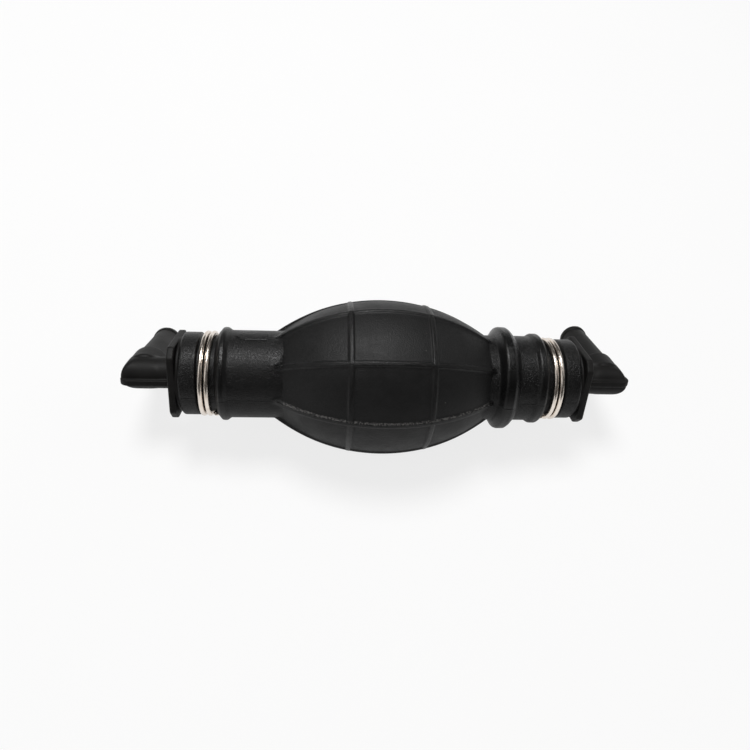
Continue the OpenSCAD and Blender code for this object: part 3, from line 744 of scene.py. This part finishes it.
def rubber(place):
    x, y, z = pump_place(place)
    crest = place.node("Attribute", {"attribute_name": "crest"}, {}, "Fac")
    low, high = PANEL_EDGE
    panel = (x.ramp(low - GRAIN_BLEND, low + GRAIN_BLEND)
             * x.ramp(high + GRAIN_BLEND, high - GRAIN_BLEND))
    t = math.radians(PARTING_ANGLE)
    above_parting = y * math.sin(t) + z * math.cos(t)
    # The lower mould half: rougher, and in the colour below also painted paler as a painted reflection of the
    # pale floor.
    below = above_parting.ramp(MOULD_BLEND, -MOULD_BLEND)
    # A band just over the parting line on the panels, where light flecks in the colour are painted glints
    # that stand in for the sparkle of the light on the rib's upper edge.
    glint_band = above_parting.ramp(*GLINT_FROM) * above_parting.ramp(*GLINT_TO) * panel
    coarse = place.noise(0.42, 1).ramp(0.4, 0.64)
    fine = place.noise(0.2, 2)
    blotch = place.noise(7, 3).ramp(0.25, 0.75)
    smudge = place.noise(2.2, 2).ramp(0.3, 0.8)
    specks = place.noise(0.5, 0).ramp(0.84, 0.9) * place.noise(9, 2).ramp(0.5, 0.62)
    off_axis = (y * y + z * z).math("POWER", 0.5)
    outlet_side, inlet_side = (x.ramp(*span) for span in BEADS_BEYOND)
    bead = off_axis.ramp(*BEAD_R) * (outlet_side + inlet_side)
    height = coarse * (0.85 - panel * 0.35 - bead * 0.5) + fine * 0.45 + smudge * 0.12
    rough = (0.39 + panel * 0.11 + below * 0.2 * (1 - panel * 0.5) + (blotch - 0.5) * 0.07
             + (fine - 0.5) * 0.12 - crest * 0.14 - bead * 0.1 + smudge * panel * 0.05)
    # Random blotches and smudges and the panels' lighter rubber are the rubber's own tone. The lower mould
    # half is painted paler here, a painted reflection of the floor.
    tone_and_painted_floor_sheen = blotch * 0.2 + smudge * 0.15 + below * 0.25 + panel * 0.4
    shade = tone_and_painted_floor_sheen.mix(grey(0.003, -0.02), grey(0.01, -0.01))
    # Painted glints: light flecks mixed into the base colour within that band.
    painted_glints = glint_band * place.noise(0.5, 1).ramp(0.42, 0.62)
    colour = (specks * 0.5 + painted_glints * 0.3).mix(shade, grey(0.22, 0.03))
    return {"Base Color": colour, "Roughness": rough, "Normal": height.bump(0.08), "IOR": 1.5,
            "Specular IOR Level": 0.28}


# %% [markdown]
# ## Plastic, wire and the valve's own parts
# The elbows are glass-filled nylon, black with a satin skin and faint flow marks. The clip wire is nickel
# plated and a little warm in the light, with fine drawing lines that run along it. Inside, the valves are
# natural acetal, with a rubber ring and a stainless spring.

# %% The other finishes
WIRE_LINES = (9.0, 0.12, 1.0)  # close together round the wire and long along it


def plastic(place):
    flow = place.noise(5, 3, (1, 0.5, 1)).ramp(0.25, 0.75)
    grain = place.noise(0.35, 2)
    scuff = place.noise(1.6, 4, (0.3, 1, 1)).ramp(0.55, 0.75)
    shade = (flow * 0.5 + scuff * 0.3).mix(grey(0.008, 0.03), grey(0.013, 0.04))
    rough = 0.53 + (flow - 0.5) * 0.08 + (grain - 0.5) * 0.12 + scuff * 0.06
    return {"Base Color": shade, "Roughness": rough, "Normal": (grain + flow * 0.3).bump(0.03), "IOR": 1.5,
            "Specular IOR Level": 0.16}


def wire(place):
    around = place.node("UVMap", {"uv_map": "along"}, {}, "UV")
    mapped = place.node("Mapping", {}, {"Vector": around, "Scale": WIRE_LINES})
    line = place.node("TexNoise", {}, {"Vector": mapped, "Scale": 3.0, "Detail": 3.0}).ramp(0.3, 0.7)
    stain = place.noise(3.0, 3).ramp(0.45, 0.75)
    colour = (stain * 0.6).mix((0.80, 0.73, 0.66, 1), (0.66, 0.57, 0.49, 1))
    return {"Base Color": colour, "Metallic": 1.0, "Roughness": 0.17 + line * 0.12 + stain * 0.05,
            "Normal": line.bump(0.008)}


def acetal(place):
    cloud = place.noise(2.5, 3).ramp(0.3, 0.7)
    return {"Base Color": cloud.mix((0.74, 0.72, 0.66, 1), (0.80, 0.78, 0.73, 1)),
            "Roughness": 0.38 + cloud * 0.1, "Normal": place.noise(0.3, 2).bump(0.01)}


def seal(place):
    dust = place.noise(1.2, 3).ramp(0.4, 0.8)
    return {"Base Color": dust.mix(grey(0.03), grey(0.05)), "Roughness": 0.55 + dust * 0.15,
            "Normal": place.noise(0.25, 2).bump(0.02)}


def steel(place):
    mark = place.noise(0.8, 3, (0.3, 1, 1)).ramp(0.3, 0.7)
    return {"Base Color": mark.mix((0.62, 0.63, 0.65, 1), (0.5, 0.5, 0.52, 1)), "Metallic": 1.0,
            "Roughness": 0.26 + mark * 0.1, "Normal": mark.bump(0.005)}


finishes = {slot: finish(slot, make) for slot, make in (
    ("bulb_rubber", rubber), ("connector_plastic", plastic), ("clip_wire", wire), ("valve_plastic", acetal),
    ("seal_rubber", seal), ("spring_steel", steel))}

# %% [markdown]
# ## Each piece on its body
# A piece rides on the CAD body that carries it, hides the CAD nodes that it replaces, and takes its finish
# from the material of its slot. The parts of the valves keep their CAD shapes, and only get a finish. Each
# valve spring gets a mesh of its own.

# %% Ride, replace and paint
POPPET_LIFT = 2.5
SPRING_ROOM = 7.6  # from the poppet to the spring's foot with the valve shut
BOSS_L = 1.5  # the cage's boss stands this far beyond the spring's foot


def dress(piece, body, slot, *nodes):
    """Rides on body, takes the slot's finish, and hides the nodes that it replaces."""
    piece.data.materials.append(finishes[slot])
    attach(piece, body)
    if nodes:
        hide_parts(*nodes)


dress(bulb, "bulb", "bulb_rubber", "bulb")
dress(arrow, "bulb", "bulb_rubber")
for end, sign in SIGN.items():
    dress(elbows[end], end + "_connector", "connector_plastic", end + "_elbow")
    dress(clips[end], "bulb", "clip_wire", end + "_wire_clip")
    dress(springs[end], end + "_connector", "spring_steel", end + "_valve_spring")
    _, cage_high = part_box(end + "_spring_cage")
    foot = (cage_high[0] - BOSS_L * MM, *AXIS[1:] * MM)
    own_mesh(springs[end], end + "_valve_lift", axis=(1, 0, 0), anchor=foot,
              keep=1 - POPPET_LIFT / SPRING_ROOM)
for subpart in frame["record"]["subparts"]:
    node = frame["nodes"][subpart["node"]]
    if not node.hide_render:
        node.data.materials.clear()
        node.data.materials.append(finishes[subpart["material_slot"]])
        print(subpart["node"], "keeps its CAD shape with", subpart["material_slot"])

# %% [markdown]
# ## The studio
# A pale matte floor, one round softbox high over the pump, two weak fills and a dim room. The softbox draws
# the long highlight along the top, the floor shines back on the lower flanks, and the dim front of the room
# leaves the ribs' faces dark in between. That contrast is what shows the shape of a black object. The camera
# and all reflections see the floor mixed with plain white, which leaves only a faint shadow, while the soft
# light that it throws back on the pump stays that of a pale floor.

# %% Floor, world and lamps
FLOOR_HALF = 6.0
FLOOR_WHITE = 0.8
ROOM_COLOUR = (0.08, 0.077, 0.074, 1)
LAMPS = (  # name, direction from the pump, distance and width in metres, and watts
    ("softbox", (-0.1, 0.29, 0.95), 1.0, 0.4, 8.4),
    ("fill_left", (-0.66, -0.3, 0.6), 1.6, 1.3, 3.2),
    ("fill_right", (0.78, 0.2, 0.46), 1.6, 1.3, 2.6))


def floor_paint(place):
    cloud = place.noise(60, 2).ramp(0.2, 0.8)
    return {"Base Color": cloud.mix((0.91, 0.91, 0.91, 1), (0.93, 0.93, 0.93, 1)), "Roughness": 0.9,
            "Specular IOR Level": 0.1}


floor_points = np.array([(-1, -1, 0), (1, -1, 0), (1, 1, 0), (-1, 1, 0)]) * FLOOR_HALF
floor = new_object("studio_floor", floor_points, [(0, 1, 2, 3)])
floor.data.materials.append(finish("floor_paint", floor_paint, FLOOR_WHITE))

world = bpy.data.worlds.new("dim_room")
bpy.context.scene.world = world
world.use_nodes = True
world.node_tree.nodes["Background"].inputs["Color"].default_value = ROOM_COLOUR
world.node_tree.nodes["Background"].inputs["Strength"].default_value = 1.0


def area_lamp(name, direction, distance, width, power):
    """A round area lamp that lies in a direction from the pump and faces it."""
    data = bpy.data.lights.new(name, "AREA")
    data.shape, data.size, data.energy = "DISK", width, power
    lamp = bpy.data.objects.new(name, data)
    away = Vector(direction).normalized()
    lamp.location = Vector(AXIS * MM) + away * distance
    lamp.rotation_euler = away.to_track_quat("Z", "Y").to_euler()
    bpy.context.scene.collection.objects.link(lamp)
    print("%s: %.1f W from %.1f m" % (name, power, distance))


for lamp_values in LAMPS:
    area_lamp(*lamp_values)

# %% [markdown]
# ## The camera
# The camera looks down on the pump at 60 degrees from close by, a little left of its middle, turned slightly
# to the right and rolled by less than a degree.

# %% Aim the camera
FOCAL_PX, FRAME_PX, SENSOR_MM = 640, 750, 36
SHIFT_PX = (-6.6, 0.8)
AIM_X, DISTANCE = -22.1, 223
TILT, YAW, ROLL = 60, 5.25, 0.87
camera_data = bpy.data.cameras.new("camera")
camera_data.lens = FOCAL_PX / FRAME_PX * SENSOR_MM
camera_data.sensor_width = SENSOR_MM
camera_data.shift_x, camera_data.shift_y = (shift / FRAME_PX for shift in SHIFT_PX)
camera_data.clip_start = 0.01
camera = bpy.data.objects.new("camera", camera_data)
tilt, yaw, roll = (math.radians(angle) for angle in (TILT, YAW, ROLL))
forward = Vector((0, math.cos(tilt), -math.sin(tilt)))
camera_up = Vector((0, math.sin(tilt), math.cos(tilt)))
right = Vector((1, 0, 0)) * math.cos(yaw) - forward * math.sin(yaw)
camera_place = Vector((BULB_X + AIM_X, AXIS[1], AXIS[2])) * MM - forward * DISTANCE * MM
forward = forward * math.cos(yaw) + Vector((1, 0, 0)) * math.sin(yaw)
axes = (right * math.cos(roll) + camera_up * math.sin(roll),
        camera_up * math.cos(roll) - right * math.sin(roll), -forward)
camera.matrix_world = Matrix.Translation(camera_place) @ Matrix(axes).transposed().to_4x4()
bpy.context.scene.collection.objects.link(camera)
bpy.context.scene.camera = camera
bpy.context.scene.view_settings.view_transform = "Standard"
print("camera at", [round(v / MM, 1) for v in camera_place])
